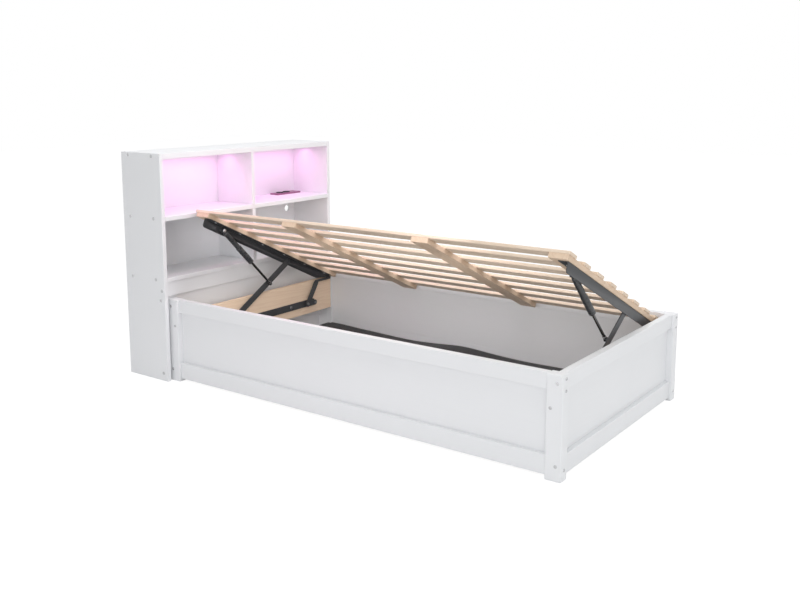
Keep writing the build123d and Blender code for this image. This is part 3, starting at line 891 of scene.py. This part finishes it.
def makeStrut(end):
    values = strut
    cylinderName, rodName = "strut_cylinder_" + end, "strut_rod_" + end
    pin = Vector(joints["strut_" + end + "_pivot"]["pos_m"])
    line = Vector(joints["strut_" + end + "_slide"]["axis"]).normalized()
    inward = Vector((1.0 if end == "head" else -1.0, 0.0, 0.0))
    place = facing(pin, line)
    neck, body, sleeve, rod = values["neck"], values["body"], values["sleeve"], values["rod"]
    seat = values["eyeRadius"] - values["eyeSeat"]
    mouth = values["end"]
    cylinder = bmesh.new()
    lathe(cylinder, [
        (0.0, seat), (neck, seat), (neck, values["neckEnd"]),
        *stepped(body, 0.0, "shoulder"),
        *stepped(body, values["sleeveStart"], "bodyEnd"),
        *stepped(sleeve, values["sleeveStart"], "sleeveFoot"),
        *stepped(sleeve, mouth, "sleeveLip"),
        *stepped(rod, mouth, "mouth"),
        (0.0, mouth - values["mouthDepth"]),
    ], place, 40)
    lathe(cylinder, ringProfile(values["eyeHalf"]), facing(pin, (1, 0, 0)), 32)
    bmesh.ops.recalc_face_normals(cylinder, faces=cylinder.faces)
    addPiece(cylinder, cylinderName + "_tube", cylinderName, strutSteel, [cylinderName])
    reach = max(line.dot(vertex.co - pin) for vertex in nodes[rodName].data.vertices)
    eye = reach - values["eyeRadius"]
    bar = bmesh.new()
    lathe(bar, [
        (0.0, values["rodStart"]),
        *stepped(rod, values["rodStart"], "rodFoot"),
        *stepped(rod, eye, "rodNut"),
        (0.0, eye - values["rodEnd"]),
    ], place, 32)
    eyePlace = pin + line * eye
    lathe(bar, ringProfile(values["rodEyeHalf"]), facing(eyePlace, (1, 0, 0)), 32)
    rivetPlace = facing(eyePlace + inward * values["rodEyeHalf"], inward)
    lathe(bar, domeProfile(values["rivetRadius"], values["rivetRise"]), rivetPlace, 32)
    bmesh.ops.recalc_face_normals(bar, faces=bar.faces)
    addPiece(bar, rodName + "_bar", rodName, rodSteel, [rodName])


railScrew = {
    "radius": 0.0055, "height": 0.0024, "rim": 0.0010, "reach": 0.0032, "depth": 0.0016, "sides": 24,
    "corners": 0, "turn": 0.7,
}
railScrewRow = {
    "count": 6, "startFromNear": 0.05, "endFromFar": 0.08, "shelfMiddle": 0.024, "shelfBottom": 0.003,
}


def makeRailScrews(end):
    # Screws up through the angle rail's shelf into the end bearer.
    values = railScrewRow
    railLow, railHigh = flatBox("angle_rail_" + end)
    bearerLow, bearerHigh = flatBox("bearer_" + end)
    x = railLow.x + values["shelfMiddle"] if end == "head" else railHigh.x - values["shelfMiddle"]
    start = railLow.y + values["startFromNear"]
    pitch = (railHigh.y - values["endFromFar"] - start) / (values["count"] - 1)
    mesh = bmesh.new()
    for number in range(values["count"]):
        spot = Vector((x, start + number * pitch, bearerLow.z - values["shelfBottom"]))
        place = tipUp @ facing(spot, (0, 0, -1)) @ Matrix.Rotation(railScrew["turn"] * number, 4, "Z")
        addHead(mesh, place, railScrew)
    addPiece(mesh, "rail_screws_" + end, "platform", boltSteel)


pivotPin = {"radius": 0.0092, "rise": 0.0034, "stack": 0.0093}
pinPlate = {"halfLength": 0.030, "halfHeight": 0.019, "thickness": 0.0016, "ease": 0.0006}


def makePivotPins(end):
    # A domed head on the pin that holds the strut, and the plate that stiffens the rail round it.
    inward = 1.0 if end == "head" else -1.0
    pin = Vector(joints["strut_" + end + "_pivot"]["pos_m"])
    mesh = bmesh.new()
    spot = pin + Vector((inward * pivotPin["stack"], 0.0, 0.0))
    lathe(mesh, domeProfile(pivotPin["radius"], pivotPin["rise"]), facing(spot, (inward, 0, 0)), 32)
    bmesh.ops.recalc_face_normals(mesh, faces=mesh.faces)
    addPiece(mesh, "strut_pin_" + end, "platform", boltSteel)
    steps = sorted({round(vertex.co.x, 5) for vertex in nodes["angle_rail_" + end].data.vertices})
    legFace = steps[1] if end == "head" else steps[-2]
    flat = layFlat @ pin
    ends = sorted((legFace, legFace + inward * pinPlate["thickness"]))
    low = Vector((ends[0], flat.y - pinPlate["halfLength"], flat.z - pinPlate["halfHeight"]))
    high = Vector((ends[1], flat.y + pinPlate["halfLength"], flat.z + pinPlate["halfHeight"]))
    mesh = roundedBoard(low, high, pinPlate["ease"], tipUp)
    addPiece(mesh, "pin_plate_" + end, "platform", gearSteel, weighted=True)


railTaper = {"length": 0.105, "underHinge": 0.014}


def makeRail(end):
    # The angle rail with its leg cut back on a slant towards the hinge, as photographed.
    name = "angle_rail_" + end
    low, high = flatBox(name)
    mesh = bmesh.new()
    mesh.from_mesh(nodes[name].data)
    bmesh.ops.remove_doubles(mesh, verts=mesh.verts, dist=mergeDistance)
    bmesh.ops.transform(mesh, matrix=layFlat, verts=mesh.verts)
    start = Vector((0.0, high.y - railTaper["length"], low.z))
    rise = hinge.z - railTaper["underHinge"] - low.z
    away = Vector((0.0, rise, -railTaper["length"])).normalized()
    every = mesh.verts[:] + mesh.edges[:] + mesh.faces[:]
    cut = bmesh.ops.bisect_plane(
        mesh, geom=every, dist=mergeDistance, plane_co=start, plane_no=away, clear_outer=True
    )
    rim = [item for item in cut["geom_cut"] if isinstance(item, bmesh.types.BMEdge)]
    bmesh.ops.holes_fill(mesh, edges=rim)
    bmesh.ops.transform(mesh, matrix=tipUp, verts=mesh.verts)
    bmesh.ops.recalc_face_normals(mesh, faces=mesh.faces)
    addPiece(mesh, name + "_cut", "platform", gearSteel, [name])


def makeGear():
    for end in ("head", "foot"):
        makeStrut(end)
        makeRailScrews(end)
        makePivotPins(end)
        makeRail(end)
        dress(gearSteel, "base_bar_" + end, "hinge_bracket_" + end, "front_link_" + end)


makeGear()
print("lifting gear made")


# Lining cloth on the storage floor

cloth = {
    "headEnd": -0.792,
    "cornerStart": -0.770,
    "cornerSide": 0.494,
    "side": 0.502,
    "thickness": 0.0015,
    "lift": 0.0012,
    # Middle along x, height and half width of each swell, and of the low one at the near side.
    "waves": ((-0.72, 0.0125, 0.20), (0.06, 0.0155, 0.14)),
    "nearWave": (0.35, 0.010, 0.16),
    "nearShare": 0.35,
    # Height of each ripple, with its turns along x and along y.
    "ripples": ((0.0022, 9.0, 5.0), (0.0016, -4.0, 17.0)),
    "stepsAlong": 200,
    "stepsAcross": 76,
}


def clothHeight(x, y):
    towardsFar = 0.5 + 0.5 * (y / cloth["side"])
    share = cloth["nearShare"] + (1 - cloth["nearShare"]) * towardsFar
    swell = sum(height * exp(-((x - middle) / width) ** 2) for middle, height, width in cloth["waves"])
    ripples = sum(height * sin(along * x + across * y) ** 2 for height, along, across in cloth["ripples"])
    middle, height, width = cloth["nearWave"]
    near = height * exp(-((x - middle) / width) ** 2) * (1 - towardsFar)
    return swell * share + ripples + near


def makeCloth():
    low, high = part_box("floor_cloth")
    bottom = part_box("floor_battens")[1].z + cloth["lift"]
    mesh = bmesh.new()
    bmesh.ops.create_grid(mesh, x_segments=cloth["stepsAlong"], y_segments=cloth["stepsAcross"], size=0.5)
    length = high.x - cloth["headEnd"]
    width = 2 * cloth["side"]
    bmesh.ops.scale(mesh, vec=(length, width, 1.0), verts=mesh.verts)
    bmesh.ops.translate(mesh, vec=(cloth["headEnd"] + length / 2, 0.0, bottom), verts=mesh.verts)
    corners = [
        face for face in mesh.faces
        if face.calc_center_median().x < cloth["cornerStart"]
        and abs(face.calc_center_median().y) > cloth["cornerSide"]
    ]
    bmesh.ops.delete(mesh, geom=corners, context="FACES")
    for vertex in mesh.verts:
        vertex.co.z += clothHeight(vertex.co.x, vertex.co.y)
    area = sum(face.calc_area() for face in mesh.faces)
    bmesh.ops.recalc_face_normals(mesh, faces=mesh.faces)
    piece = addPiece(mesh, "lining_cloth", "bed", clothMaterial, ["floor_cloth"], sharp=80.0)
    solid = piece.modifiers.new("thickness", "SOLIDIFY")
    solid.thickness = cloth["thickness"]
    solid.offset = 1.0


makeCloth()
print("lining cloth made")


# Lamps and charging outlet

lampStrip = {"wall": 0.0012, "depth": 0.0016, "faceRise": 0.0009, "faceSink": 0.0012, "faceEase": 0.0009}


def makeLamps():
    channels = bmesh.new()
    faces = bmesh.new()
    for number, (low, high) in enumerate(solidsOf("lamp_strips")):
        wall = lampStrip["wall"]
        recess(channels, addBox(channels, high - low, (low + high) / 2), min, wall, lampStrip["depth"])
        cover = roundedBoard(
            Vector((low.x + wall, low.y + wall, low.z - lampStrip["faceRise"])),
            Vector((high.x - wall, high.y - wall, low.z + lampStrip["faceSink"])), lampStrip["faceEase"],
        )
        data = bpy.data.meshes.new("coverShape")
        cover.to_mesh(data)
        cover.free()
        faces.from_mesh(data)
        bpy.data.meshes.remove(data)
        light = bpy.data.lights.new("lampLight" + str(number), "AREA")
        light.shape = "RECTANGLE"
        light.size = lampGlow["width"]
        light.size_y = high.y - low.y
        light.energy = lampGlow["watts"]
        light.color = lampGlow["colour"]
        lamp = bpy.data.objects.new("lampLight" + str(number), light)
        lamp.location = ((low.x + high.x) / 2, (low.y + high.y) / 2, low.z - lampGlow["below"])
        bpy.context.scene.collection.objects.link(lamp)
    addPiece(channels, "lamp_channels", "bed", channelPlastic)
    addPiece(faces, "lamp_faces", "bed", lampFace, ["lamp_strips"])


socket = {
    "rimRise": 0.0042,
    "rimWidth": 0.0026,
    "rimShare": 0.6,
    "wellTop": 0.001,
    "wellFoot": 0.0015,
    "slotLength": 0.0085,
    "slotWidth": 0.0018,
    "slotHeight": 0.0012,
    "slotPitch": 0.0127,
    "portRim": 0.0012,
    "portDepth": 0.0018,
}


def makeOutlet():
    values = socket
    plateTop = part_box("outlet_plate")[1].z
    rise, rim, share = values["rimRise"], values["rimWidth"], values["rimShare"]
    rims = bmesh.new()
    for low, high in solidsOf("outlet_sockets"):
        middle = (low + high) / 2
        size = high - low
        if abs(size.x - size.y) < 0.001:
            radius = size.x / 2
            profile = [
                (0.0, low.z), (radius, low.z), (radius, plateTop), (radius + rim, plateTop),
                (radius + rim, plateTop + share * rise), (radius + share * rim, plateTop + rise),
                (radius, plateTop + rise), (radius - values["wellTop"], plateTop + share * rise),
                (radius - values["wellFoot"], high.z), (0.0, high.z),
            ]
            lathe(rims, profile, Matrix.Translation((middle.x, middle.y, 0.0)), 48)
            slot = (values["slotLength"], values["slotWidth"], values["slotHeight"])
            for side in (-1, 1):
                addBox(rims, slot, (middle.x, middle.y + side * values["slotPitch"] / 2, high.z))
        else:
            recess(rims, addBox(rims, size, middle), max, values["portRim"], values["portDepth"])
    bmesh.ops.recalc_face_normals(rims, faces=rims.faces)
    addPiece(rims, "outlet_faces", "bed", socketPlastic, ["outlet_sockets"])
    dress(outletPlastic, "outlet_plate")


makeLamps()
makeOutlet()
print("lamps and outlet made")


# Studio

studio = {
    "ambient": 0.45,
    "tint": (0.985, 0.99, 1.0),
    "floorSize": 30.0,
    "floorDrop": 0.0004,
    "floorColour": (0.92, 0.92, 0.92, 1.0),
    "floorWhite": 0.80,
    "floorGlow": 1.16,
    "floorRough": 0.9,
}
studioLamps = {
    "overhead": {"place": (0.3, -0.2, 3.6), "aim": (0.0, 0.0, 0.3), "size": (3.6, 3.6), "watts": 74.0},
    "footSide": {"place": (4.2, 0.4, 2.0), "aim": (0.4, 0.0, 0.4), "size": (2.6, 2.6), "watts": 24.0},
    "frontFill": {"place": (2.6, -4.6, 1.9), "aim": (0.0, 0.0, 0.4), "size": (3.8, 3.8), "watts": 72.0},
    "boxFill": {"place": (0.13, -0.46, 0.42), "aim": (0.13, 0.49, -0.10), "size": (1.5, 0.2), "watts": 3.0},
    "headFill": {
        "place": (0.5, -0.3, 1.25), "aim": (-0.95, 0.0, 0.70), "size": (0.9, 0.9), "watts": 4.4,
        "colour": (1.0, 0.86, 0.93),
    },
    "lampSpill": {
        "place": (-0.77, -0.05, 0.98), "aim": (0.4, -0.1, 0.45), "size": (1.0, 0.1), "watts": 2.2,
        "colour": (1.0, 0.45, 0.70),
    },
}


def seenStraight(tree):
    # One for the rays that should find a plain white background.
    path = addNode(tree, "LightPath").outputs
    both = calc(tree, "ADD", path["Is Camera Ray"], path["Is Glossy Ray"])
    return calc(tree, "ADD", both, path["Is Transmission Ray"], clamp=True)


def makeWorld():
    world = bpy.data.worlds.new("studioWorld")
    bpy.context.scene.world = world
    world.use_nodes = True
    tree = world.node_tree
    tree.nodes.clear()
    inputs = {"Color": (*studio["tint"], 1.0), "Strength": studio["ambient"]}
    soft = addNode(tree, "Background", inputs).outputs[0]
    white = addNode(tree, "Background", {"Color": (1.0, 1.0, 1.0, 1.0), "Strength": 1.0}).outputs[0]
    mixed = addNode(tree, "MixShader", {0: seenStraight(tree), 1: soft, 2: white}).outputs[0]
    addNode(tree, "OutputWorld", {"Surface": mixed})


def makeFloor():
    mesh = bmesh.new()
    bmesh.ops.create_grid(mesh, x_segments=1, y_segments=1, size=studio["floorSize"] / 2)
    bmesh.ops.translate(mesh, vec=(0, 0, -studio["floorDrop"]), verts=mesh.verts)
    data = bpy.data.meshes.new("studioFloor")
    mesh.to_mesh(data)
    mesh.free()
    floor = bpy.data.objects.new("studioFloor", data)
    bpy.context.scene.collection.objects.link(floor)
    plain = {"Base Color": studio["floorColour"], "Roughness": studio["floorRough"]}
    material, tree, shader = newMaterial("studioFloor", **plain)
    inputs = {"Color": (1.0, 1.0, 1.0, 1.0), "Strength": studio["floorGlow"]}
    glow = addNode(tree, "Emission", inputs).outputs[0]
    share = calc(tree, "MULTIPLY", seenStraight(tree), studio["floorWhite"])
    mixed = addNode(tree, "MixShader", {0: share, 1: shader.outputs[0], 2: glow}).outputs[0]
    tree.links.new(mixed, tree.nodes["Material Output"].inputs["Surface"])
    data.materials.append(material)


def makeStudioLamps():
    for name, values in studioLamps.items():
        light = bpy.data.lights.new(name, "AREA")
        light.shape = "RECTANGLE"
        light.size, light.size_y = values["size"]
        light.energy = values["watts"]
        light.color = values.get("colour", (1.0, 1.0, 1.0))
        lamp = bpy.data.objects.new(name, light)
        lamp.location = values["place"]
        lamp.visible_camera = False
        aim = Vector(values["aim"]) - Vector(values["place"])
        lamp.rotation_euler = aim.to_track_quat("-Z", "Y").to_euler()
        bpy.context.scene.collection.objects.link(lamp)


makeWorld()
makeFloor()
makeStudioLamps()
print("studio made")
